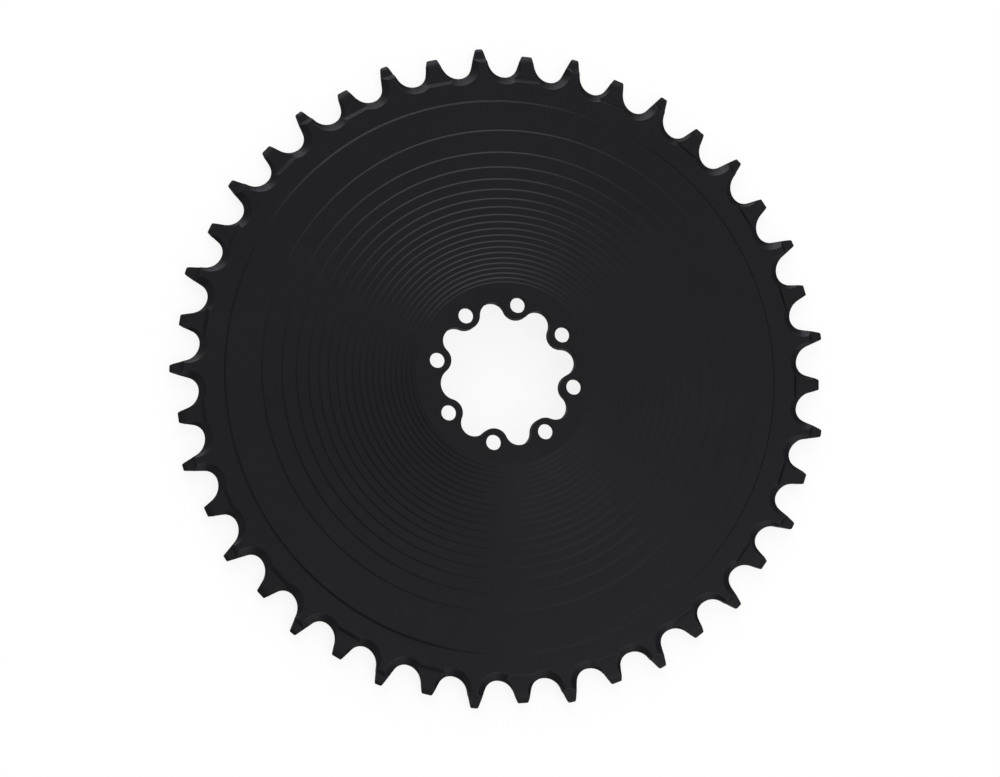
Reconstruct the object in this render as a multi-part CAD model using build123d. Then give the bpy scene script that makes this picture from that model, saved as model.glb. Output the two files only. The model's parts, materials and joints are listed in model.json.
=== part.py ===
from build123d import *
import os
from math import cos, radians, sin, sqrt, tan

# Bicycle chainring, milled in one piece from an aluminium plate: a rim of alternating wide and narrow
# teeth, a closed dished disc with terraced front, and a bolt flange round a scalloped bore.
# Sizes are in millimetres and degrees. The origin is the centre of the bolt circle on the mounting
# face. +Z runs along the axis, out of that face, and angles turn from +X towards +Y.

# Chain and tooth spacing
chain_pitch = 12.7
wide_tooth_count = 21
first_wide_tooth = 7.69
chainline_offset = 8.1  # mounting face to the middle plane of the teeth

# Tooth outline, heights and depths from the pitch circle
wide_tooth_height = 3.6
narrow_tooth_height = 2.05
gap_depth = 4.0
seat_arc = 3.4  # gap radius on the clockwise side of its floor, where the roller seats
run_in_arc = 5.0  # gap radius on the other side
floor_shift = 0.55  # lowest point of the gap, clockwise from the gap's centre line
flank_angle = 21.0  # each flank to the gap's centre line
gap_facets = 3  # straight steps in each arc

# Tooth thickness and bevels
rim_thickness = 3.8
narrow_tooth_thickness = 2.0
tip_thickness = 1.1
tip_bevel = 0.8  # radial length
cheek_depth = 2.3  # tip of a wide tooth down to the cheeks that give it the thickness of the rim
wide_tooth_flat = 1.3  # width of those cheeks, at the pitch circle
relief_angle = 50.0  # sloping walls that clear the link plates round each gap, to the axis
relief_sides = 8  # of those walls round one gap
relief_drop = 0.4  # their centre inside the pitch circle, in line with the lowest point of the gap
shoulder_draft = 20.0  # walls below each narrow tooth and above each cheek, to the axis
shoulder_margin = 0.12  # foot of the wall below a narrow tooth inside the clearance of the gaps beside it

# Disc
rim_land_width = 6.82  # gap floor to the inner edge of the flat rim
rim_step = 0.25  # disc above the flat rim, at that edge
terrace_count = 5  # steps down the front
web_edge = 3.5  # thickness at both edges of the disc; its back is straight, so it is thinner between

# Bolt flange and bore
flange_thickness = 4.25
land_margin = 5.4  # bolt circle to the edge of the flat land
bolt_circle = 37.24
bolt_count = 8
first_bolt = 34.5
bolt_hole_radius = 2.05
bolt_seat_depth = 1.7  # wall left between the mounting face and each screw head
lug_radius = 3.71  # round each bolt hole, towards the axis
lug_wall = 0.51  # metal left between a screw head's recess and the edge of its lug
recess_margin = 0.71  # bolt circle out to the bottom of each recess between two lugs
index_rise = 1.57  # one recess is this much shallower and sets the ring's position on the crank
index_recess = 3  # which recess, counted from the one after the first bolt

# How far every cutting shape runs past the metal it cuts
cut_margin = 0.4

# Derived sizes
tooth_count = 2 * wide_tooth_count
tooth_angle = 360 / tooth_count
pitch_radius = chain_pitch / (2 * sin(radians(tooth_angle / 2)))
half_rim = rim_thickness / 2
half_narrow = narrow_tooth_thickness / 2
half_tip = tip_thickness / 2
wide_tip_radius = pitch_radius + wide_tooth_height
narrow_tip_radius = pitch_radius + narrow_tooth_height
relief_radius = (chain_pitch - wide_tooth_flat) / 2
rim_inner_radius = pitch_radius - gap_depth - rim_land_width
bolt_radius = bolt_circle / 2
land_radius = bolt_radius + land_margin
head_radius = lug_radius - lug_wall
dish_width = rim_inner_radius - land_radius
dish_rise = chainline_offset - half_rim - rim_step
dish_radius = (dish_width**2 + dish_rise**2) / (2 * dish_rise)
terrace_height = dish_rise / terrace_count
tooth_plane = -chainline_offset
rim_front = tooth_plane + half_rim
rim_back = tooth_plane - half_rim


def polar(radius, angle):
    """Point at this radius and angle in the plane of the ring."""
    return Vector(radius * cos(radians(angle)), radius * sin(radians(angle)))


def dish_edge(climb):
    """Radius at which the front of the disc has climbed this far above its outer edge."""
    return rim_inner_radius - sqrt(climb * (2 * dish_radius - climb))


def front_profile():
    """Points from the bore out to the rim: flat land, terraces and flat rim."""
    points = [(bolt_radius - lug_radius - cut_margin, 0)]
    for step in range(terrace_count):
        edge = dish_edge(dish_rise - (step + 0.5) * terrace_height)
        points.append((edge, -step * terrace_height))
        points.append((edge, -(step + 1) * terrace_height))
    points.append((rim_inner_radius, -dish_rise))
    points.append((rim_inner_radius, rim_front))
    return points


def make_blank():
    """The turned form before the teeth, bore and bolt holes are cut."""
    front = front_profile()
    outer_radius = wide_tip_radius + cut_margin
    rim = [(outer_radius, rim_front), (outer_radius, rim_back), (rim_inner_radius, rim_back)]
    web = [(rim_inner_radius, -dish_rise - web_edge), (land_radius, -web_edge)]
    flange = [(land_radius, -flange_thickness), (front[0][0], -flange_thickness)]
    return revolve(Plane.XZ * make_face(Polyline(*front, *rim, *web, *flange, front[0])), Axis.Z)


def gap_arc(radius, start, turn):
    """Points along one arc of a tooth gap, about the roller's centre with +X outwards."""
    centre = Vector(radius - gap_depth, -floor_shift)
    return [centre + polar(radius, start + turn * step / gap_facets) for step in range(gap_facets + 1)]


def make_gap_cutter():
    """One tooth gap with its clearance on both sides, about the roller's centre with +X outwards."""
    turn = 90 - flank_angle
    slope = tan(radians(flank_angle))
    outside = wide_tooth_height + 2 * cut_margin
    face = half_rim + cut_margin
    points = gap_arc(seat_arc, 180 + turn, -turn)
    points += gap_arc(run_in_arc, 180, -turn)[1:]
    seat_outside = (outside, points[0].Y - (outside - points[0].X) * slope)
    run_in_outside = (outside, points[-1].Y + (outside - points[-1].X) * slope)
    outline = Polyline(*points, run_in_outside, seat_outside, points[0])
    cutter = extrude(make_face(outline), face, both=True)

    relief_centre = Vector(-relief_drop, -floor_shift)
    wall_slope = tan(radians(relief_angle))
    corner = 1 / cos(radians(180 / relief_sides))
    wide = (relief_radius + cut_margin * wall_slope) * corner
    waist = (relief_radius - half_rim * wall_slope) * corner
    for side in (face, -face):
        points = []
        for number in range(relief_sides):
            angle = 360 * (number + 0.5) / relief_sides
            points.append(relief_centre + polar(waist, angle))
            points.append(relief_centre + polar(wide, angle) + Vector(0, 0, side))
        cutter += ConvexPolyhedron(points)
    return cutter


def make_tooth_cutter(tip_radius, wall_foot):
    """What is milled off both sides and the tip of one tooth, from the foot of a drafted wall outwards."""
    outside = wide_tip_radius + 2 * cut_margin
    face = half_rim + cut_margin
    brow = wall_foot - (face - half_narrow) * tan(radians(shoulder_draft))
    front = [(outside, face), (brow, face), (wall_foot, half_narrow)]
    front += [(tip_radius - tip_bevel, half_narrow), (tip_radius, half_tip)]
    back = [(radius, -height) for radius, height in reversed(front)]
    section = Plane.XZ * make_face(Polyline(*front, *back, front[0]))
    return extrude(section, chain_pitch / 2 - cut_margin, both=True)


def make_wide_tooth_cutter():
    """A wide tooth is a narrow one with a cheek on each side, which ends below the tip."""
    return make_tooth_cutter(wide_tip_radius, wide_tip_radius - cheek_depth)


def make_narrow_tooth_cutter():
    """A narrow tooth stands on a shoulder, which ends inside the clearance of the gaps beside it."""
    clearance = (half_rim - half_narrow) * tan(radians(relief_angle))
    return make_tooth_cutter(narrow_tip_radius, pitch_radius - relief_radius + clearance + shoulder_margin)


def make_bore():
    """Outline of the bore: each lug arc runs into the recess arcs beside it without a corner."""
    bolt_angle = 360 / bolt_count
    across = bolt_radius * cos(radians(bolt_angle / 2))
    joins = []
    bottoms = []
    for number in range(bolt_count):
        reach = bolt_radius + recess_margin
        if number == index_recess:
            reach -= index_rise
        span = reach + lug_radius
        middle = first_bolt + (number + 0.5) * bolt_angle
        centre = polar((span**2 - bolt_radius**2) / (2 * (span - across)), middle)
        for side in (-0.5, 0.5):
            lug = polar(bolt_radius, middle + side * bolt_angle)
            joins.append(lug + (centre - lug).normalized() * lug_radius)
        bottoms.append(polar(reach, middle))
    outline = Curve()
    for number in range(bolt_count):
        lug_tip = polar(bolt_radius - lug_radius, first_bolt + number * bolt_angle)
        outline += ThreePointArc(joins[2 * number - 1], lug_tip, joins[2 * number])
        outline += ThreePointArc(joins[2 * number], bottoms[number], joins[2 * number + 1])
    return Pos(0, 0, cut_margin) * extrude(make_face(outline), -(flange_thickness + 2 * cut_margin))


def make_bolt_hole():
    """Bolt hole with the recess for its screw head at the back, about its own axis."""
    head_bottom = -(flange_thickness + cut_margin)
    hole = [(0, cut_margin), (bolt_hole_radius, cut_margin), (bolt_hole_radius, -bolt_seat_depth)]
    head = [(head_radius, -bolt_seat_depth), (head_radius, head_bottom), (0, head_bottom)]
    return revolve(Plane.XZ * make_face(Polyline(*hole, *head, hole[0])), Axis.Z)


def make_chainring():
    """The whole ring: the turned blank, then its teeth, bore and bolt holes."""
    first_narrow_tooth = first_wide_tooth + tooth_angle
    first_gap = first_wide_tooth + tooth_angle / 2
    wide_tooth_cutter = Pos(0, 0, tooth_plane) * make_wide_tooth_cutter()
    narrow_tooth_cutter = Pos(0, 0, tooth_plane) * make_narrow_tooth_cutter()
    gap_cutter = Pos(0, 0, tooth_plane) * make_gap_cutter()
    ring = make_blank()
    ring -= PolarLocations(0, wide_tooth_count, first_wide_tooth) * wide_tooth_cutter
    ring -= PolarLocations(0, wide_tooth_count, first_narrow_tooth) * narrow_tooth_cutter
    ring -= PolarLocations(pitch_radius, tooth_count, first_gap) * gap_cutter
    ring -= make_bore()
    ring -= PolarLocations(bolt_radius, bolt_count, first_bolt) * make_bolt_hole()
    return ring


os.makedirs("parts", exist_ok=True)
chainring = make_chainring()
chainring.label = "chainring"
export_step(chainring, "parts/chainring.step")
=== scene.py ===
# %% [markdown]
# # Black bicycle chainring
#
# The real part is milled from one plate of aluminium and anodised black. A rim of wide and narrow teeth
# runs round a closed, dished disc, and a flange with eight bolt holes stands round a scalloped bore.
# This script dresses the measured solid: it keeps its size and place, and gives it the round cuts, fine
# milling steps, broken edges and satin finish that the solid leaves out.

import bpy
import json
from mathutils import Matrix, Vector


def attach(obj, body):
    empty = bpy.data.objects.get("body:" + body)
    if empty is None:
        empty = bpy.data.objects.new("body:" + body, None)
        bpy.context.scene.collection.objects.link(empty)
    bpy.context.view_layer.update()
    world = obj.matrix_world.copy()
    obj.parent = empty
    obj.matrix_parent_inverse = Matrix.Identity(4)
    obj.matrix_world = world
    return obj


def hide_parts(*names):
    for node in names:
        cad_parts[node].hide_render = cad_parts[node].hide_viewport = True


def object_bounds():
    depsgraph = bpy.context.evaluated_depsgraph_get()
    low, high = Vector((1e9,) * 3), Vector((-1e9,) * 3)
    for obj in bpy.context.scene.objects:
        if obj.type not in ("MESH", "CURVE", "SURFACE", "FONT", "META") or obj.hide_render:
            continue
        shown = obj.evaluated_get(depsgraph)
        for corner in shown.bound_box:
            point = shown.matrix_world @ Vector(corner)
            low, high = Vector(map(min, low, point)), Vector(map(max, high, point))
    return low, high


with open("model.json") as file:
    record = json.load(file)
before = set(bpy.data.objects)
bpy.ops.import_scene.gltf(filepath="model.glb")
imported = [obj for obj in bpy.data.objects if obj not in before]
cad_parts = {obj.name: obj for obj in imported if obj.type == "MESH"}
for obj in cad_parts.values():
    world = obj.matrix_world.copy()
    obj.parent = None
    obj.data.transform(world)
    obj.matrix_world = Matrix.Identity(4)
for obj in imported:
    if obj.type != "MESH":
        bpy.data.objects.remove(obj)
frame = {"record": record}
cad_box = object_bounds()
print(f"measured part: {[round(side, 4) for side in cad_box[1] - cad_box[0]]} m")

# %% [markdown]
# ## Sizes that come with the part
#
# Bolt holes, tooth plane and rim thickness are read from the part's record and its box, so that this
# script never has a second opinion about them. Sizes here are millimetres, and become metres when a
# mesh is finished. Angles are degrees and turn from +X towards +Y.

# %% Read the sizes
from math import acos, atan2, ceil, cos, degrees, pi, radians, sin, tan

import bmesh
import bpy
from mathutils import Matrix, Vector

METRES_PER_MM = 0.001
MM_TO_METRES = Matrix.Scale(METRES_PER_MM, 4)

mounts = {mount["name"]: mount for mount in frame["record"]["mounts"]}
bolt_radius = mounts["crank_bolts"]["dims"]["pcd_mm"] / 2
bolt_count = mounts["crank_bolts"]["dims"]["count"]
hole_radius = mounts["crank_bolts"]["dims"]["hole_r_mm"]
tooth_plane = mounts["chain_teeth"]["pos_m"][2] / METRES_PER_MM
rim_back = cad_box[0].z / METRES_PER_MM
half_rim = tooth_plane - rim_back
rim_front = tooth_plane + half_rim
print(f"{bolt_count} bolt holes on a {2 * bolt_radius:.2f} mm circle, rim {2 * half_rim:.2f} mm thick")

# %% [markdown]
# ## Camera
#
# The photo looks almost straight down the ring's axis through a long lens, from a little below and left
# of it. The ring lies on its back here, so the camera hangs above it. Its place is written as the lean
# of the ring in the photo, the distance, and how far the ring's centre sits from the middle of the
# picture.

# %% Hang the camera above the ring
view_lean = 11.656  # between the ring's axis and the line of sight
view_lean_towards = 32.87  # direction in the picture in which the axis leans
view_distance = 1182.5
view_centre = (0.229, 3.100)
photo_width = 1000
photo_pixels_per_mm = 3.75
sensor_width = 36.0
far_clip = 20  # metres

lean_axis = Vector((-sin(radians(view_lean_towards)), cos(radians(view_lean_towards)), 0))
lean = Matrix.Rotation(radians(view_lean), 4, lean_axis)
ring_in_view = Matrix.Translation((*view_centre, 0)) @ lean
camera_place = Matrix.Translation((0, 0, tooth_plane)) @ ring_in_view.inverted()
camera_place = camera_place @ Matrix.Translation((0, 0, view_distance))
camera_place.translation *= METRES_PER_MM

camera_data = bpy.data.cameras.new("photo_camera")
camera_data.sensor_width = sensor_width
camera_data.lens = sensor_width * view_distance * photo_pixels_per_mm / photo_width
camera_data.clip_end = far_clip
camera = bpy.data.objects.new("photo_camera", camera_data)
camera.matrix_world = camera_place
bpy.context.scene.collection.objects.link(camera)
bpy.context.scene.camera = camera
print(f"lens {camera_data.lens:.1f} mm, camera at {[round(value, 3) for value in camera.location]} m")

# %% [markdown]
# ## Writing formulas as nodes
#
# Floor, world, spiral and finish all hold small rules, such as a strength that changes with direction.
# In Blender such a rule is a chain of Math nodes. This helper turns ordinary arithmetic into those
# nodes, so that a rule can be read as a formula.

# %% Helpers for node trees
class Formula:
    """A value in a node tree. Arithmetic with it adds Math nodes to the tree."""

    def __init__(self, tree, socket):
        self.tree = tree
        self.socket = socket

    def math(self, operation, *others):
        """A new formula: a Math node with this value first."""
        node = self.tree.nodes.new("ShaderNodeMath")
        node.operation = operation
        for value, socket in zip((self, *others), node.inputs):
            put(value, socket)
        return Formula(self.tree, node.outputs[0])

    def __add__(self, other):
        return self.math("ADD", other)

    def __sub__(self, other):
        return self.math("SUBTRACT", other)

    def __rsub__(self, other):
        return self * -1 + other

    def __mul__(self, other):
        return self.math("MULTIPLY", other)

    def __truediv__(self, other):
        return self.math("DIVIDE", other)


def put(value, socket):
    """Links a formula to an input socket, or writes a plain value there."""
    if isinstance(value, Formula):
        value.tree.links.new(value.socket, socket)
    else:
        socket.default_value = value


def link_nodes(tree, *pairs):
    """Joins output and input sockets in turn."""
    for output, socket in pairs:
        tree.links.new(output, socket)


# %% [markdown]
# ## Floor
#
# The photo is a cut-out on white, so the ring lies on a wide matt white sheet that takes its shadow.
# The sheet is a hair lower than the back of the rim, because faces in one plane would show through each
# other. For rays that come from the camera, or from a mirror or glass, most of its white is its own
# light, so that the picture's ground stays white without more light on the metal.

# %% Lay the floor
floor_half_side = 3.0  # metres
floor_gap = 0.00005  # metres
floor_white = (0.9, 0.9, 0.9, 1)
floor_own_light = 0.86


def white_for_the_eye(tree):
    """A formula that is 1 for rays that show the ground directly, in a mirror or through glass."""
    path = tree.nodes.new("ShaderNodeLightPath")
    direct = Formula(tree, path.outputs["Is Camera Ray"])
    in_mirror = Formula(tree, path.outputs["Is Glossy Ray"])
    through_glass = Formula(tree, path.outputs["Is Transmission Ray"])
    return direct.math("MAXIMUM", in_mirror).math("MAXIMUM", through_glass)


def make_floor_material():
    """Matt white, with light of its own for the eye."""
    material = bpy.data.materials.new("white_floor")
    material.use_nodes = True
    tree = material.node_tree
    tree.nodes.clear()
    matt = tree.nodes.new("ShaderNodeBsdfDiffuse")
    matt.inputs["Color"].default_value = floor_white
    glow = tree.nodes.new("ShaderNodeEmission")
    mix = tree.nodes.new("ShaderNodeMixShader")
    output = tree.nodes.new("ShaderNodeOutputMaterial")
    put(white_for_the_eye(tree) * floor_own_light, mix.inputs["Fac"])
    link_nodes(
        tree,
        (matt.outputs["BSDF"], mix.inputs[1]),
        (glow.outputs["Emission"], mix.inputs[2]),
        (mix.outputs["Shader"], output.inputs["Surface"]),
    )
    return material


def make_floor():
    """A wide sheet just under the ring."""
    height = cad_box[0].z - floor_gap
    corners = [(-1, -1), (1, -1), (1, 1), (-1, 1)]
    points = [(x * floor_half_side, y * floor_half_side, height) for x, y in corners]
    mesh = bpy.data.meshes.new("floor")
    mesh.from_pydata(points, [], [(0, 1, 2, 3)])
    mesh.materials.append(make_floor_material())
    floor = bpy.data.objects.new("floor", mesh)
    bpy.context.scene.collection.objects.link(floor)
    return height


bpy.context.scene.view_settings.view_transform = "Standard"
floor_height = make_floor()
print(f"floor at {floor_height / METRES_PER_MM:.2f} mm")

# %% [markdown]
# ## World and lamps
#
# The bright lines at the top of the photo come from behind the ring: a large soft box, and a low strip
# that the steeper cuts mirror. A broad box beside the lower right and a small one near the ring lighten
# the terraces there, and a faint strip lifts the left. Grey light from all round, stronger towards the
# upper right, gives the flat faces their level. A lamp is written as a direction and a radiance, because
# metal mirrors how bright a box looks, not how much power it has.

# %% Light from all round
def make_world(level, slope, azimuth):
    """Grey light from all round, stronger towards one azimuth, and white for the camera."""
    world = bpy.data.worlds.new("studio")
    bpy.context.scene.world = world
    world.use_nodes = True
    tree = world.node_tree
    tree.nodes.clear()
    direction = tree.nodes.new("ShaderNodeTexCoord")
    towards = tree.nodes.new("ShaderNodeVectorMath")
    towards.operation = "DOT_PRODUCT"
    towards.inputs[1].default_value = (cos(radians(azimuth)), sin(radians(azimuth)), 0)
    grey = tree.nodes.new("ShaderNodeBackground")
    white = tree.nodes.new("ShaderNodeBackground")
    path = tree.nodes.new("ShaderNodeLightPath")
    mix = tree.nodes.new("ShaderNodeMixShader")
    output = tree.nodes.new("ShaderNodeOutputWorld")
    strength = Formula(tree, towards.outputs["Value"]).math("MULTIPLY_ADD", level * slope, level)
    put(strength, grey.inputs["Strength"])
    link_nodes(
        tree,
        (direction.outputs["Generated"], towards.inputs[0]),
        (path.outputs["Is Camera Ray"], mix.inputs["Fac"]),
        (grey.outputs["Background"], mix.inputs[1]),
        (white.outputs["Background"], mix.inputs[2]),
        (mix.outputs["Shader"], output.inputs["Surface"]),
    )


make_world(level=0.963, slope=0.43, azimuth=49)
print(f"world: {bpy.context.scene.world.name}")


# %% Soft boxes
def add_soft_box(name, azimuth, elevation, distance, sides, radiance):
    """A lamp that looks at the ring from this direction, with its width and height in metres."""
    lamp = bpy.data.lights.new(name, "AREA")
    lamp.shape = "RECTANGLE"
    lamp.size, lamp.size_y = sides
    lamp.energy = radiance * pi * sides[0] * sides[1]
    soft_box = bpy.data.objects.new(name, lamp)
    flat = cos(radians(elevation))
    height = sin(radians(elevation))
    towards = Vector((flat * cos(radians(azimuth)), flat * sin(radians(azimuth)), height))
    soft_box.location = towards * distance
    soft_box.rotation_euler = towards.to_track_quat("Z", "Y").to_euler()
    bpy.context.scene.collection.objects.link(soft_box)


add_soft_box("box_behind", azimuth=94, elevation=24, distance=1.6, sides=(1.5, 1.2), radiance=2.55)
add_soft_box("strip_behind", azimuth=100, elevation=9, distance=1.6, sides=(1.7, 0.4), radiance=3.65)
add_soft_box("strip_left", azimuth=200, elevation=14, distance=1.4, sides=(1.4, 0.4), radiance=0.4)
add_soft_box("box_beside", azimuth=301, elevation=18, distance=1.2, sides=(1.2, 0.5), radiance=1.8)
add_soft_box("box_near", azimuth=310, elevation=60, distance=0.5, sides=(0.25, 0.2), radiance=1.8)
print(f"{len(bpy.data.lights)} lamps")

# %% [markdown]
# ## Points on flat outlines
#
# Teeth, bore and back are all drawn as outlines of straight lines and arcs, as on a workshop drawing.
# These helpers give a point by its radius and angle, the points along an arc, and those round a corner.

# %% Helpers for outlines
arc_step = 6.0
corner_step = 24


def polar(radius, angle):
    """Point of the plane at this radius and angle."""
    return Vector((radius * cos(radians(angle)), radius * sin(radians(angle))))


def bearing(vector):
    """Direction of a vector of the plane."""
    return degrees(atan2(vector.y, vector.x))


def arc(centre, radius, start, turn, step=arc_step):
    """Points along an arc, about one for each step of its turn."""
    count = ceil(abs(turn) / step)
    return [centre + polar(radius, start + turn * number / count) for number in range(count + 1)]


def round_corner(before, corner, after, radius):
    """The arc that rounds a corner of an outline."""
    back = (before - corner).normalized()
    ahead = (after - corner).normalized()
    half = acos(back.dot(ahead)) / 2
    centre = corner + (back + ahead).normalized() * radius / sin(half)
    first = corner + back * radius / tan(half) - centre
    turn = pi - 2 * half
    side = 1 if back.cross(ahead) < 0 else -1
    return arc(centre, radius, bearing(first), side * degrees(turn), corner_step)


# %% [markdown]
# ## The outline of one pair of teeth
#
# Every second tooth is wide and tall, and the ones between are narrow and short, so the rim repeats
# every two teeth. One such sector, from the middle of a wide tooth to the middle of the next, is drawn
# as a flat outline: two gaps with a tight arc where the roller seats and a wider arc where it runs in,
# straight flanks, and tips with rounded corners.

# %% Sizes of the teeth
chain_pitch = 12.7
pair_count = 21
first_wide_tooth = 7.69  # its angle on the ring
wide_tooth_height = 3.6  # above the pitch circle
narrow_tooth_height = 2.05
gap_depth = 4.0  # below the pitch circle
seat_arc = 3.4
run_in_arc = 5.0
floor_shift = 0.55  # lowest point of a gap, clockwise from its middle
flank_angle = 21.0
tip_corner = 0.35
rim_land_width = 6.82  # gap floor to the solid's step at the rim
step_reach = 0.25  # foot of the sloping step, outside the solid's upright one
columns_per_sector = 12  # points of the disc along one sector

tooth_angle = 180 / pair_count
pitch_radius = chain_pitch / (2 * sin(radians(tooth_angle / 2)))
wide_tip_radius = pitch_radius + wide_tooth_height
narrow_tip_radius = pitch_radius + narrow_tooth_height
rim_inner_radius = pitch_radius - gap_depth - rim_land_width
seam_radius = rim_inner_radius + step_reach
columns = pair_count * columns_per_sector
print(f"{2 * pair_count} teeth, pitch radius {pitch_radius:.3f} mm")


# %% Draw the sector
def gap_outline(angle):
    """Floor of the gap at this angle, and the directions of its flanks, clockwise side first."""
    turn = 90 - flank_angle
    roller = Vector((pitch_radius, 0))
    seat = arc(roller + Vector((seat_arc - gap_depth, -floor_shift)), seat_arc, 180 + turn, -turn)
    run_in = arc(roller + Vector((run_in_arc - gap_depth, -floor_shift)), run_in_arc, 180, -turn)
    spin = Matrix.Rotation(radians(angle), 2)
    points = [spin @ point for point in seat + run_in[1:]]
    return points, spin @ polar(1, -flank_angle), spin @ polar(1, flank_angle)


def tip_corner_of(point, flank, tooth, tip_radius):
    """Where a flank through this point meets the straight tip of a tooth."""
    outwards = polar(1, tooth)
    return point + flank * (tip_radius - point.dot(outwards)) / flank.dot(outwards)


def sector_outline():
    """From the middle of one wide tip over a narrow tooth to the next, then back along the rim."""
    first_gap, first_steep, first_easy = gap_outline(-tooth_angle / 2)
    second_gap, second_steep, second_easy = gap_outline(tooth_angle / 2)
    start = polar(wide_tip_radius, -tooth_angle)
    end = polar(wide_tip_radius, tooth_angle)
    leaving = tip_corner_of(first_gap[0], first_steep, -tooth_angle, wide_tip_radius)
    left = tip_corner_of(first_gap[-1], first_easy, 0, narrow_tip_radius)
    right = tip_corner_of(second_gap[0], second_steep, 0, narrow_tip_radius)
    arriving = tip_corner_of(second_gap[-1], second_easy, tooth_angle, wide_tip_radius)
    points = [start] + round_corner(start, leaving, first_gap[0], tip_corner) + first_gap
    points += round_corner(first_gap[-1], left, right, tip_corner)
    points += round_corner(left, right, second_gap[0], tip_corner) + second_gap
    points += round_corner(second_gap[-1], arriving, end, tip_corner) + [end]
    return points + arc(Vector((0, 0)), seam_radius, tooth_angle, -2 * tooth_angle, 360 / columns)


outline = sector_outline()
print(f"{len(outline)} points in one sector")

# %% [markdown]
# ## Cutters for the teeth
#
# On the machine, a cutter clears the link plates beside each gap, thins all teeth towards their tips
# and bevels the tips. Narrow teeth are thin down to a shoulder on the rim. Wide teeth keep a cheek of
# full thickness on each side, which ends about 3 mm below the tip. Here each cut is a body of its own:
# a cone at each gap, and a long bar for each side of a tooth. The bar's section is the shape of that
# side, with a ramp from full to narrow thickness, so one function serves both kinds of teeth.

# %% Sizes of the cutters
narrow_half = 1.0  # half the thickness of a narrow tooth
wide_bevel = [(0.8, narrow_half), (0, 0.55)]  # depth below the tip, and half the thickness there
narrow_bevel = [(1.7, narrow_half), (0.9, 0.8), (0, 0.35)]
cheek_depth = 2.75  # foot of the ramp, below a wide tip
shoulder_depth = 4.36  # foot of the ramp, below the pitch circle
ramp = 0.95  # its radial length
relief_radius = 5.4  # of a cone where it meets the rim's face
relief_drop = 0.7  # its centre inside the pitch circle
relief_angle = 50.0  # its wall, to the axis
relief_bottom = 0.1  # its small end, above the tooth plane
relief_facet = 3.75
relief_start = 1.9  # angle of its first corner
overrun = 0.4  # how far cutters run past the metal

cheek_foot = wide_tip_radius - cheek_depth
shoulder_foot = pitch_radius - shoulder_depth
relief_slope = tan(radians(relief_angle))
print(f"cheeks end {cheek_depth} to {cheek_depth + ramp} mm below the wide tips")


# %% Bodies between two loops
def add_object(name, points, faces):
    """An object with this mesh, its faces turned outwards."""
    mesh = bpy.data.meshes.new(name)
    mesh.from_pydata(points, [], faces)
    shell = bmesh.new()
    shell.from_mesh(mesh)
    bmesh.ops.recalc_face_normals(shell, faces=shell.faces)
    shell.to_mesh(mesh)
    shell.free()
    thing = bpy.data.objects.new(name, mesh)
    bpy.context.scene.collection.objects.link(thing)
    return thing


def loft(name, first, second):
    """A closed body between two loops of as many points."""
    count = len(first)
    sides = [(i, (i + 1) % count, count + (i + 1) % count, count + i) for i in range(count)]
    ends = [tuple(range(count)), tuple(range(count, 2 * count))]
    return add_object(name, [*first, *second], ends + sides)


# %% Make the cutters
def relief_cone(gap, side):
    """Clearance for the link plates on one side of the rim: a cone that opens outwards."""
    centre = Matrix.Rotation(radians(gap), 2) @ Vector((pitch_radius - relief_drop, -floor_shift))
    loops = []
    for height in (relief_bottom, half_rim + overrun):
        radius = relief_radius - (half_rim - height) * relief_slope
        ring = arc(centre, radius, relief_start, 360, relief_facet)[:-1]
        loops.append([(point.x, point.y, side * height) for point in ring])
    return loft("relief_cone", *loops)


def side_bar(tooth, side, tip_radius, bevel, foot):
    """A bar along the tangent that takes one side of a tooth down to its profile, from a ramp out."""
    outside = wide_tip_radius + overrun
    top = foot - ramp * (1 + overrun / (half_rim - narrow_half))
    section = [(outside, half_rim + overrun), (top, half_rim + overrun), (foot, narrow_half)]
    section += [(tip_radius - depth, half) for depth, half in bevel] + [(outside, bevel[-1][1])]
    spin = Matrix.Rotation(radians(tooth), 4, "Z")
    reach = chain_pitch / 2 - overrun
    ends = []
    for along in (-reach, reach):
        ends.append([spin @ Vector((radius, along, side * height)) for radius, height in section])
    return loft("side_bar", *ends)


def make_cutters():
    """All cutters of one sector, on both sides of the rim."""
    made = []
    for side in (1, -1):
        for gap in (-tooth_angle / 2, tooth_angle / 2):
            made.append(relief_cone(gap, side))
        for tooth in (-tooth_angle, tooth_angle):
            made.append(side_bar(tooth, side, wide_tip_radius, wide_bevel, cheek_foot))
        made.append(side_bar(0, side, narrow_tip_radius, narrow_bevel, shoulder_foot))
    return made


cutters = make_cutters()
print(f"{len(cutters)} cutters for one sector")

# %% [markdown]
# ## Milling one sector
#
# The outline becomes a thick plate, and one exact Boolean takes all cutters off it at once. Cutting one
# sector and repeating it keeps the mesh small, and every pair of teeth alike, as on the real ring.

# %% Cut the sector
def plain_mesh(thing):
    """The mesh that an object shows with its modifiers, as a mesh of its own."""
    graph = bpy.context.evaluated_depsgraph_get()
    return bpy.data.meshes.new_from_object(thing.evaluated_get(graph))


def cut_sector():
    """The sector's mesh after all cuts."""
    low = [(point.x, point.y, -half_rim) for point in outline]
    high = [(point.x, point.y, half_rim) for point in outline]
    sector = loft("sector", low, high)
    shelf = bpy.data.collections.new("cutters")
    for cutter in cutters:
        shelf.objects.link(cutter)
    cut = sector.modifiers.new("cut", "BOOLEAN")
    cut.operation = "DIFFERENCE"
    cut.solver = "EXACT"
    cut.operand_type = "COLLECTION"
    cut.collection = shelf
    mesh = plain_mesh(sector)
    for thing in [sector, *cutters]:
        bpy.data.objects.remove(thing)
    bpy.data.collections.remove(shelf)
    return mesh


sector_mesh = cut_sector()
print(f"sector cut: {len(sector_mesh.polygons)} faces")

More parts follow.
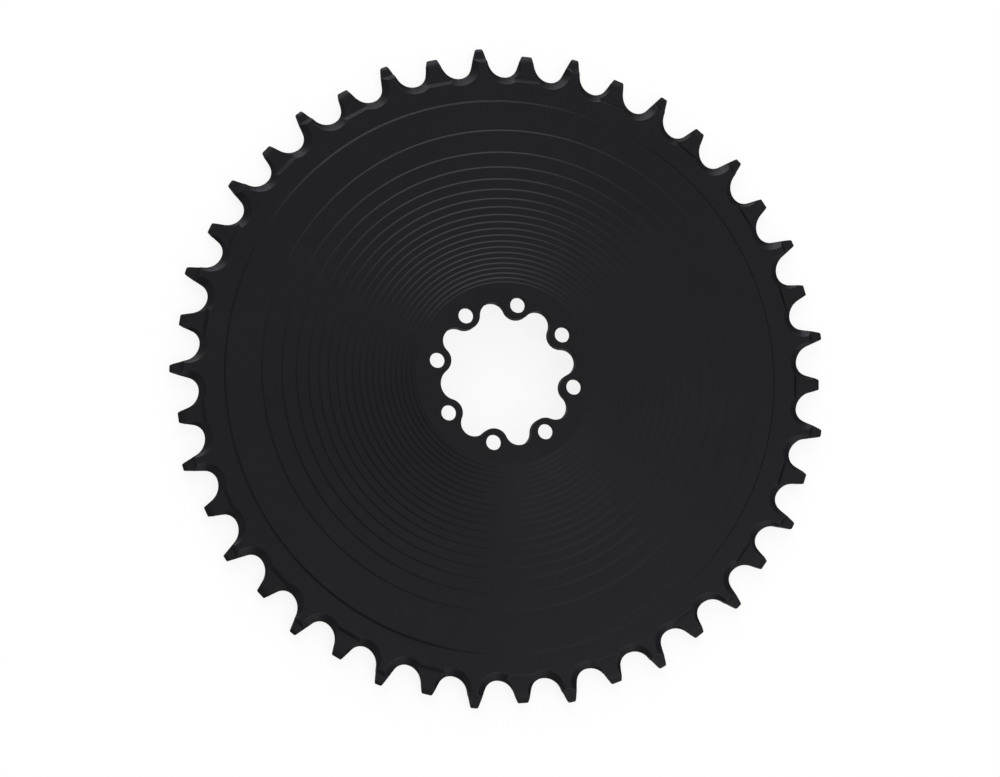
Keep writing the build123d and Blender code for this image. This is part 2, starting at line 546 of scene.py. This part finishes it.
# %% [markdown]
# ## Breaking the edges
#
# A milled and anodised part has no knife edges: brushing leaves a tiny round on each outer edge, and
# that round is what catches the light. A bevel of a few hundredths does it here, on outward edges only.
# The flat ends of the sector and its inner wall are taken away first, because its neighbours and the
# disc close them.

# %% Break the edges of the sector
edge_break = 0.06
merge_distance = 0.02
end_tolerance = 0.05  # degrees
upright = 0.1  # most that a wall's normal may rise
level_tolerance = 0.001
steep_edge = 45  # an edge is broken where its two faces turn by more than this
shallow_edge = 22  # the same on the rim, at the relief cones


def is_open_end(face):
    """True for the faces where the sector meets its neighbours and the disc."""
    middle = face.calc_center_median()
    beside = abs(abs(bearing(middle)) - tooth_angle) < end_tolerance
    inside = middle.to_2d().length < seam_radius + merge_distance
    return abs(face.normal.z) < upright and (beside or inside)


def is_broken_edge(edge):
    """True for outward edges that are steep, and for the rim's edges at the relief cones."""
    if len(edge.link_faces) != 2 or not edge.is_convex:
        return False
    angle = degrees(edge.calc_face_angle())
    on_rim = all(abs(abs(vertex.co.z) - half_rim) < level_tolerance for vertex in edge.verts)
    return angle > steep_edge or (on_rim and angle > shallow_edge)


def break_edges(mesh):
    """Cleans the cut sector, opens its ends and rounds its edges."""
    shell = bmesh.new()
    shell.from_mesh(mesh)
    bmesh.ops.remove_doubles(shell, verts=shell.verts, dist=merge_distance)
    bmesh.ops.dissolve_degenerate(shell, edges=shell.edges, dist=merge_distance / 4)
    bmesh.ops.delete(shell, geom=[face for face in shell.faces if is_open_end(face)], context="FACES")
    # The rounds' faces are marked, so that the finish can paint them lighter as a highlight and make
    # them smoother.
    on_edge = shell.faces.layers.float.new("broken_edge")
    rounds = bmesh.ops.bevel(
        shell,
        geom=[edge for edge in shell.edges if is_broken_edge(edge)],
        offset=edge_break,
        offset_type="OFFSET",
        segments=2,
        profile=0.5,
        affect="EDGES",
    )
    for face in rounds["faces"]:
        face[on_edge] = 1.0
    bmesh.ops.transform(shell, matrix=MM_TO_METRES, verts=shell.verts)
    shell.to_mesh(mesh)
    shell.free()


break_edges(sector_mesh)
print(f"edges broken: {len(sector_mesh.polygons)} faces")

# %% [markdown]
# ## Trees that make meshes
#
# Two of the next steps are rules, not drawings: one sector goes round the rim 21 times, and a spiral
# winds up the disc. Both are Geometry Nodes trees with named sizes. They start and end alike, so these
# helpers make both ends, and turn what a tree shows into a plain mesh.

# %% Helpers for Geometry Nodes
seam_distance = 4e-6  # metres
finish_material = bpy.data.materials.new("black_anodised_aluminium")


def new_geometry_tree(name, sizes):
    """An empty tree with a named input for each size, and a formula for each input."""
    tree = bpy.data.node_groups.new(name, "GeometryNodeTree")
    tree.interface.new_socket("Geometry", in_out="INPUT", socket_type="NodeSocketGeometry")
    tree.interface.new_socket("Material", in_out="INPUT", socket_type="NodeSocketMaterial")
    for size, value in sizes.items():
        kind = "NodeSocketInt" if isinstance(value, int) else "NodeSocketFloat"
        tree.interface.new_socket(size, in_out="INPUT", socket_type=kind)
    tree.interface.new_socket("Geometry", in_out="OUTPUT", socket_type="NodeSocketGeometry")
    start = tree.nodes.new("NodeGroupInput")
    return tree, {socket.name: Formula(tree, socket) for socket in start.outputs if socket.name}


def finish_geometry_tree(tree, shape, material):
    """Turns a shape into one real mesh with a material, at the end of a tree."""
    real = tree.nodes.new("GeometryNodeRealizeInstances")
    merge = tree.nodes.new("GeometryNodeMergeByDistance")
    merge.inputs["Distance"].default_value = seam_distance
    paint = tree.nodes.new("GeometryNodeSetMaterial")
    end = tree.nodes.new("NodeGroupOutput")
    put(material, paint.inputs["Material"])
    link_nodes(
        tree,
        (shape, real.inputs["Geometry"]),
        (real.outputs["Geometry"], merge.inputs["Geometry"]),
        (merge.outputs["Geometry"], paint.inputs["Geometry"]),
        (paint.outputs["Geometry"], end.inputs["Geometry"]),
    )


def run_tree(tree, mesh, sizes):
    """The plain mesh that a tree makes from a mesh and these sizes."""
    thing = bpy.data.objects.new(tree.name, mesh)
    bpy.context.scene.collection.objects.link(thing)
    modifier = thing.modifiers.new(tree.name, "NODES")
    modifier.node_group = tree
    for item in tree.interface.items_tree:
        if item.in_out == "INPUT" and item.name in sizes:
            modifier[item.identifier] = sizes[item.name]
    result = plain_mesh(thing)
    bpy.data.objects.remove(thing)
    return result


# %% [markdown]
# ## All teeth round the rim
#
# The finished sector is set round the axis as often as there are pairs of teeth. On the real ring this
# is the dividing head of the machine: the same cuts, one step further each time.

# %% Repeat the sector
def make_ring_tree(sizes):
    """A tree that sets the incoming mesh round the axis."""
    tree, inputs = new_geometry_tree("teeth_round_the_rim", sizes)
    points = tree.nodes.new("GeometryNodePoints")
    index = Formula(tree, tree.nodes.new("GeometryNodeInputIndex").outputs["Index"])
    turn = tree.nodes.new("ShaderNodeCombineXYZ")
    lift = tree.nodes.new("ShaderNodeCombineXYZ")
    place = tree.nodes.new("GeometryNodeInstanceOnPoints")
    put(inputs["Count"], points.inputs["Count"])
    put(inputs["Height"], lift.inputs["Z"])
    put(index * (2 * pi) / inputs["Count"] + inputs["First angle"], turn.inputs["Z"])
    put(inputs["Geometry"], place.inputs["Instance"])
    link_nodes(
        tree,
        (lift.outputs["Vector"], points.inputs["Position"]),
        (points.outputs["Points"], place.inputs["Points"]),
        (turn.outputs["Vector"], place.inputs["Rotation"]),
    )
    finish_geometry_tree(tree, place.outputs["Instances"], inputs["Material"])
    return tree


ring_sizes = {
    "Count": pair_count,
    "First angle": radians(first_wide_tooth + tooth_angle),
    "Height": tooth_plane * METRES_PER_MM,
}
ring_tree = make_ring_tree(ring_sizes)
teeth_mesh = run_tree(ring_tree, sector_mesh, {**ring_sizes, "Material": finish_material})
print(f"toothed rim: {len(teeth_mesh.polygons)} faces")

# %% [markdown]
# ## The spiral terraces
#
# The front of the disc is a shallow dome that was cut with one long spiral. The cutter starts at the
# rim and climbs inwards for 20 turns, and each turn leaves a flat tread and a riser 0.3 mm high. The
# risers keep the round of the cutter's corner, so they slope, and catch light over twice that width.
# The step at the rim is steeper, and it grows along the first turn as the tread climbs away from the
# rim. Where that turn closes, a short slope takes the tread back down to its start. The tree lays out a
# grid in polar form: its columns go round once, and four rows follow the soft bend of each riser from
# foot to top. A formula for every point is surer than drawing, because all turns meet at the seam.

# %% Sizes of the dome
land_margin = 5.4  # bolt circle to the edge of the flat land
rim_step = 0.25  # disc above the flat rim, where the spiral starts
spiral_turns = 20
spiral_start = 58  # columns from the first wide tooth back to the start
rows_per_riser = 4

land_radius = bolt_radius + land_margin
dish_rise = -rim_front - rim_step
dish_width = rim_inner_radius - land_radius
dish_radius = (dish_width**2 + dish_rise**2) / (2 * dish_rise)
print(f"dome {dish_rise:.2f} mm high, each riser {dish_rise / spiral_turns:.2f} mm")


# %% Grid for the spiral
def choose(flag, chosen, otherwise):
    """One formula where the flag is 1, and another where it is 0."""
    return otherwise + (chosen - otherwise) * flag


def add_grid(tree, column_count, row_count):
    """A grid, with formulas for the share of a turn and the number of the row at each point."""
    grid = tree.nodes.new("GeometryNodeMeshGrid")
    put(column_count + 1, grid.inputs["Vertices X"])
    put(row_count, grid.inputs["Vertices Y"])
    where = tree.nodes.new("GeometryNodeInputPosition")
    apart = tree.nodes.new("ShaderNodeSeparateXYZ")
    tree.links.new(where.outputs["Position"], apart.inputs["Vector"])
    share = Formula(tree, apart.outputs["X"]) + 0.5
    row = ((Formula(tree, apart.outputs["Y"]) + 0.5) * (row_count - 1)).math("ROUND")
    return grid.outputs["Mesh"], share, row


# %% Wind the spiral
def make_terrace_tree(sizes):
    """A tree that makes the stepped front of the disc, from the rim to the flat land."""
    tree, inputs = new_geometry_tree("spiral_terraces", sizes)
    turns, rise, entry = inputs["Turns"], inputs["Dish rise"], inputs["Entry"]
    rim, step_at_rim, rim_run = inputs["Rim radius"], inputs["Rim step"], inputs["Rim run"]
    grid, share, row = add_grid(tree, inputs["Columns"], (turns + 1) * rows_per_riser + 1)

    riser = (row / rows_per_riser).math("FLOOR") - 1
    stage = row - (riser + 1) * rows_per_riser
    turn = (riser + share).math("MAXIMUM", 0)
    at_rim = riser.math("LESS_THAN", -0.5)
    at_land = riser.math("GREATER_THAN", turns - 0.5)

    step = rise / turns
    outer_tread = step * share.math("MAXIMUM", 1 - share * entry)
    climb = rise * turn / turns
    on_dome = inputs["Outer radius"] - (climb * (inputs["Dish radius"] * 2 - climb)).math("SQRT")
    foot_radius = on_dome.math("MINIMUM", rim - (outer_tread + step_at_rim) * rim_run)
    foot_radius = choose(at_rim, rim, foot_radius)
    foot_radius = choose(at_land, inputs["Land radius"], foot_radius)

    top = choose(at_rim, outer_tread, step * (turn + 1).math("MINIMUM", turns))
    foot = step * turn.math("MINIMUM", turns).math("MAXIMUM", 1 - turn * entry)
    foot = choose(at_rim, step_at_rim * -1, foot)
    height = top - foot
    bend = (stage * (pi / (rows_per_riser - 1))).math("COSINE") * -0.5 + 0.5
    run = choose(at_rim, rim_run, inputs["Riser run"])
    radius = foot_radius - height * run * stage / (rows_per_riser - 1)
    angle = share * (2 * pi) + inputs["First angle"]

    place = tree.nodes.new("ShaderNodeCombineXYZ")
    put(radius * angle.math("COSINE"), place.inputs["X"])
    put(radius * angle.math("SINE"), place.inputs["Y"])
    put(foot + height * bend - rise, place.inputs["Z"])
    move = tree.nodes.new("GeometryNodeSetPosition")
    link_nodes(
        tree,
        (grid, move.inputs["Geometry"]),
        (place.outputs["Vector"], move.inputs["Position"]),
    )
    finish_geometry_tree(tree, move.outputs["Geometry"], inputs["Material"])
    return tree


# %% Make the terraces
terrace_sizes = {
    "Columns": columns,
    "Turns": spiral_turns,
    "First angle": radians(first_wide_tooth - spiral_start * 360 / columns),
    "Outer radius": rim_inner_radius * METRES_PER_MM,
    "Rim radius": seam_radius * METRES_PER_MM,
    "Land radius": land_radius * METRES_PER_MM,
    "Dish radius": dish_radius * METRES_PER_MM,
    "Dish rise": dish_rise * METRES_PER_MM,
    "Rim step": rim_step * METRES_PER_MM,
    "Riser run": 2.1,  # width of a riser for each unit of its height
    "Rim run": 1.2,  # the same for the step at the rim
    "Entry": 8.0,  # how steeply the short slope falls, in risers for each turn
}
terrace_tree = make_terrace_tree(terrace_sizes)
empty_mesh = bpy.data.meshes.new("spiral_terraces")
terrace_mesh = run_tree(terrace_tree, empty_mesh, {**terrace_sizes, "Material": finish_material})
print(f"terraces: {len(terrace_mesh.polygons)} faces")

# %% [markdown]
# ## The scalloped bore
#
# The bore follows eight lugs round the bolt holes, with a round recess between each two. One recess is
# shallower than the others, and gives the ring one position on the crank. A round cutter leaves each
# arc running into the next without a corner, so each recess is a circle that touches both of its lugs.

# %% Draw the bore
first_bolt = 34.5  # its angle on the ring
lug_radius = 3.71
recess_margin = 0.71  # bolt circle out to the bottom of a recess
index_rise = 1.57  # how much shallower one recess is
index_recess = 3  # which one, counted from the one after the first bolt


def bore_recesses():
    """Centre and radius of each recess."""
    bolt_angle = 360 / bolt_count
    across = bolt_radius * cos(radians(bolt_angle / 2))
    recesses = []
    for number in range(bolt_count):
        reach = bolt_radius + recess_margin - (index_rise if number == index_recess else 0)
        span = reach + lug_radius
        middle = first_bolt + (number + 0.5) * bolt_angle
        centre_radius = (span**2 - bolt_radius**2) / (2 * (span - across))
        recesses.append((polar(centre_radius, middle), reach - centre_radius))
    return recesses


def bore_outline(inset):
    """The bore's outline, grown into the metal by inset: lug arcs shrink and recess arcs widen."""
    bolt_angle = 360 / bolt_count
    recesses = bore_recesses()
    points = []
    for number in range(bolt_count):
        lug = polar(bolt_radius, first_bolt + number * bolt_angle)
        next_lug = polar(bolt_radius, first_bolt + (number + 1) * bolt_angle)
        centre, radius = recesses[number]
        start = bearing(recesses[number - 1][0] - lug)
        turn = (bearing(centre - lug) - start) % 360 - 360
        points += arc(lug, lug_radius - inset, start, turn)[:-1]
        start = bearing(lug - centre)
        points += arc(centre, radius + inset, start, (bearing(next_lug - centre) - start) % 360)[:-1]
    return points


print(f"bore: {len(bore_outline(0))} points round {bolt_count} lugs")

# %% [markdown]
# ## Bolt flange and back
#
# The flange is a flat ring with the bore, and with eight bolt holes that have a recess for each screw
# head at the back. It is made of closed loops at several heights: neighbouring loops are joined by
# walls with small chamfers, and the flat faces between them are filled. The back of the disc is a
# turned profile with fillets, which ends on the back of the rim, where the sectors of teeth begin.

# %% Sizes of the flange
flange_thickness = 4.25
seat_depth = 1.7  # metal left in front of a screw head
lug_wall = 0.51  # metal left beside it
web_edge = 3.5  # thickness of the disc at both of its edges
chamfer = 0.15
back_fillet = 0.5
hole_facet = 7.5
head_radius = lug_radius - lug_wall
print(f"flange {flange_thickness} mm thick, screw heads up to {2 * head_radius:.1f} mm across")


# %% Walls between loops
def add_walls(shell, loops):
    """Adds loops of points at heights, with walls between, and returns both ends' edges."""
    rows = []
    for points, height in loops:
        rows.append([shell.verts.new((point.x, point.y, height)) for point in points])
    for upper, lower in zip(rows, rows[1:]):
        for number in range(len(upper)):
            shell.faces.new((upper[number - 1], upper[number], lower[number], lower[number - 1]))
    edges = []
    for row in (rows[0], rows[-1]):
        edges.append([shell.edges.get((row[number - 1], row[number])) for number in range(len(row))])
    return edges


def circle(radius):
    """One point for each column of the disc."""
    return arc(Vector((0, 0)), radius, first_wide_tooth, 360, 360 / columns)[:-1]


# %% Build the flange and the back
def back_profile():
    """Radius and height from the back of the rim along the disc to the back of the flange."""
    rim_edge = Vector((rim_inner_radius, rim_back))
    rim_foot = Vector((rim_inner_radius, -dish_rise - web_edge))
    flange_foot = Vector((land_radius, -web_edge))
    flange_edge = Vector((land_radius, chamfer - flange_thickness))
    profile = [Vector((seam_radius, rim_back)), rim_edge]
    profile += round_corner(rim_edge, rim_foot, flange_foot, back_fillet)
    profile += round_corner(rim_foot, flange_foot, flange_edge, back_fillet)
    return profile + [flange_edge, Vector((land_radius - chamfer, -flange_thickness))]


def make_flange():
    """Bore, bolt holes, flat faces of the flange and the back of the disc, as one open shell."""
    shell = bmesh.new()
    bottom = chamfer - flange_thickness
    bore = [(bore_outline(chamfer), 0), (bore_outline(0), -chamfer)]
    bore += [(bore_outline(0), bottom), (bore_outline(chamfer), -flange_thickness)]
    front, back = add_walls(shell, bore)
    steps = [(hole_radius + chamfer, 0), (hole_radius, -chamfer), (hole_radius, -seat_depth)]
    steps += [(head_radius, -seat_depth), (head_radius, bottom)]
    steps += [(head_radius + chamfer, -flange_thickness)]
    for number in range(bolt_count):
        centre = polar(bolt_radius, first_bolt + number * 360 / bolt_count)
        loops = [(arc(centre, radius, 0, 360, hole_facet)[:-1], height) for radius, height in steps]
        hole_front, hole_back = add_walls(shell, loops)
        front += hole_front
        back += hole_back
    _, back_edge = add_walls(shell, [(circle(point.x), point.y) for point in back_profile()])
    land = [shell.verts.new((point.x, point.y, 0)) for point in circle(land_radius)]
    front += [shell.edges.new((land[number - 1], land[number])) for number in range(columns)]
    bmesh.ops.triangle_fill(shell, use_beauty=True, edges=front)
    bmesh.ops.triangle_fill(shell, use_beauty=True, edges=back + back_edge)
    bmesh.ops.transform(shell, matrix=MM_TO_METRES, verts=shell.verts)
    return shell


ring_shell = make_flange()
print(f"flange and back: {len(ring_shell.faces)} faces")

# %% [markdown]
# ## One piece of metal
#
# The rim, the terraces and the flange meet in the same points, so they are put into one mesh and their
# seams merged. The result has to be closed, like the real metal. Weighted normals keep flat faces flat
# in the light although their edges are rounded.

# %% Join the shells
no_length = 1e-7  # metres
smooth_at_rounds = 50  # faces at a smaller angle than this shade as one
smooth_elsewhere = 26


def join_shells(shell):
    """One closed mesh from the flange's shell, the rim and the terraces."""
    shell.from_mesh(teeth_mesh)
    shell.from_mesh(terrace_mesh)
    bmesh.ops.remove_doubles(shell, verts=shell.verts, dist=seam_distance)
    bmesh.ops.dissolve_degenerate(shell, edges=shell.edges, dist=no_length)
    bmesh.ops.recalc_face_normals(shell, faces=shell.faces)
    bmesh.ops.triangulate(shell, faces=[face for face in shell.faces if len(face.verts) > 4])
    on_edge = shell.faces.layers.float["broken_edge"]
    for edge in shell.edges:
        at_round = any(face[on_edge] > 0 for face in edge.link_faces)
        limit = smooth_at_rounds if at_round else smooth_elsewhere
        edge.smooth = degrees(edge.calc_face_angle(0)) < limit
    open_edges = [edge for edge in shell.edges if len(edge.link_faces) != 2]
    volume = shell.calc_volume() / METRES_PER_MM**3
    print(f"{len(open_edges)} open edges, volume {volume:.0f} cubic mm")
    mesh = bpy.data.meshes.new("chainring_body")
    shell.to_mesh(mesh)
    shell.free()
    return mesh


def shade_smooth(mesh):
    """Smooth light across rounds, and flat light on flat faces."""
    mesh.materials.append(finish_material)
    mesh.polygons.foreach_set("material_index", [0] * len(mesh.polygons))
    mesh.polygons.foreach_set("use_smooth", [True] * len(mesh.polygons))
    thing = bpy.data.objects.new("chainring_body", mesh)
    bpy.context.scene.collection.objects.link(thing)
    normals = thing.modifiers.new("flat_faces", "WEIGHTED_NORMAL")
    normals.weight = 100
    normals.keep_sharp = True
    shaded = plain_mesh(thing)
    thing.modifiers.clear()
    thing.data = shaded
    return thing


body = shade_smooth(join_shells(ring_shell))
body.data.calc_loop_triangles()
print(f"chainring: {len(body.data.loop_triangles)} triangles")

# %% [markdown]
# ## Uneven dye and turning marks
#
# Anodising turns the skin of the aluminium to a clear oxide that holds black dye. The dye is never
# quite even, and fine marks of the tool run round the axis below it. Both are noise here, and each is a
# node group that gives one value for the material to use.

# %% Make the patterns
patch_scales = (28.0, 260.0)
patch_shares = (0.65, 0.35)
patch_detail = 4.0
mark_spacing = 9000.0  # noise cells along a metre of radius
mark_drift = 1.5  # how far the noise changes round the axis, in cells
mark_detail = 2.0


def new_value_group(name, output):
    """A shader node group with one value output, and its coordinates in the part's frame."""
    group = bpy.data.node_groups.new(name, "ShaderNodeTree")
    group.interface.new_socket(output, in_out="OUTPUT", socket_type="NodeSocketFloat")
    where = group.nodes.new("ShaderNodeTexCoord")
    return group, where.outputs["Object"], group.nodes.new("NodeGroupOutput").inputs[output]


def add_noise(group, where, scale, detail):
    """A formula for soft noise over these coordinates."""
    noise = group.nodes.new("ShaderNodeTexNoise")
    noise.inputs["Scale"].default_value = scale
    noise.inputs["Detail"].default_value = detail
    group.links.new(where, noise.inputs["Vector"])
    return Formula(group, noise.outputs["Fac"])


def make_mottle_group():
    """Uneven dye: two sizes of soft patches."""
    group, where, output = new_value_group("dye_mottle", "Mask")
    large, small = [add_noise(group, where, scale, patch_detail) for scale in patch_scales]
    put(large * patch_shares[0] + small * patch_shares[1], output)
    return group


def make_turning_group():
    """Fine marks round the axis: noise that changes quickly along the radius and slowly round it."""
    group, where, output = new_value_group("turning_marks", "Height")
    apart = group.nodes.new("ShaderNodeSeparateXYZ")
    group.links.new(where, apart.inputs["Vector"])
    x = Formula(group, apart.outputs["X"])
    y = Formula(group, apart.outputs["Y"])
    polar_place = group.nodes.new("ShaderNodeCombineXYZ")
    put((x * x + y * y).math("SQRT") * mark_spacing, polar_place.inputs["X"])
    put(y.math("ARCTAN2", x).math("SINE") * mark_drift, polar_place.inputs["Y"])
    put(add_noise(group, polar_place.outputs["Vector"], 1.0, mark_detail), output)
    return group


patterns = [make_mottle_group(), make_turning_group()]
print(f"patterns: {[pattern.name for pattern in patterns]}")

# %% [markdown]
# ## Black anodised finish
#
# The finish is satin, not mirror-like. The dye's mottle varies its colour and its gloss a little, the
# turning marks are a very shallow bump, and rounded edges are smoother and carry a painted highlight: a
# lighter colour that stands in for the light they catch. The metal's reflection at a glancing angle is
# held down, because the dyed skin stays dark there too.

# %% Make the finish
dye_dark = (0.0151, 0.0151, 0.0168, 1)
dye_light = (0.0203, 0.0203, 0.0225, 1)
# painted highlight: the lighter colour given to rounded edges
painted_edge_highlight = (0.030, 0.030, 0.032, 1)
glancing_tint = (0.37, 0.37, 0.37, 1)
roughness_base = 0.36
roughness_spread = 0.10
# how strongly rounded edges get the painted highlight and the polish: the least share, and its spread
# with the mottle
highlight_and_polish_least = 0.2
highlight_and_polish_spread = 0.8
rubbed_polish = 0.08
mark_strength = 0.25
mark_depth = 0.00001  # metres


def mix_colours(tree, factor):
    """A node that goes from its colour A to its colour B as a formula goes from 0 to 1."""
    node = tree.nodes.new("ShaderNodeMix")
    node.data_type = "RGBA"
    put(factor, node.inputs["Factor"])
    return node


def make_finish(material):
    """Fills the material's nodes."""
    material.use_nodes = True
    tree = material.node_tree
    shader = tree.nodes["Principled BSDF"]
    shader.inputs["Metallic"].default_value = 1.0
    shader.inputs["Specular Tint"].default_value = glancing_tint
    values = []
    for pattern in patterns:
        node = tree.nodes.new("ShaderNodeGroup")
        node.node_tree = pattern
        values.append(Formula(tree, node.outputs[0]))
    mottle, marks = values
    edge = tree.nodes.new("ShaderNodeAttribute")
    edge.attribute_name = "broken_edge"
    # painted highlight on rounded edges: this share lightens their colour and, with rubbed_polish, makes
    # them smoother
    highlight_and_polish = Formula(tree, edge.outputs["Fac"]) * (mottle * highlight_and_polish_spread + highlight_and_polish_least)

    dye = mix_colours(tree, mottle)
    dye.inputs["A"].default_value = dye_dark
    dye.inputs["B"].default_value = dye_light
    # painted highlight: rounded edges turn towards the lighter colour
    edge_highlight_mix = mix_colours(tree, highlight_and_polish)
    edge_highlight_mix.inputs["B"].default_value = painted_edge_highlight
    put(mottle * roughness_spread + roughness_base - highlight_and_polish * rubbed_polish, shader.inputs["Roughness"])
    bump = tree.nodes.new("ShaderNodeBump")
    bump.inputs["Strength"].default_value = mark_strength
    bump.inputs["Distance"].default_value = mark_depth
    put(marks, bump.inputs["Height"])
    link_nodes(
        tree,
        (dye.outputs["Result"], edge_highlight_mix.inputs["A"]),
        (edge_highlight_mix.outputs["Result"], shader.inputs["Base Color"]),
        (bump.outputs["Normal"], shader.inputs["Normal"]),
    )


make_finish(finish_material)
print(f"finish: {len(finish_material.node_tree.nodes)} nodes")

# %% [markdown]
# ## Hand over
#
# The dressed ring takes the place of the measured solid and rides on its body.

# %% Put the piece in the frame
import json

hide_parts("chainring")
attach(body, "root")
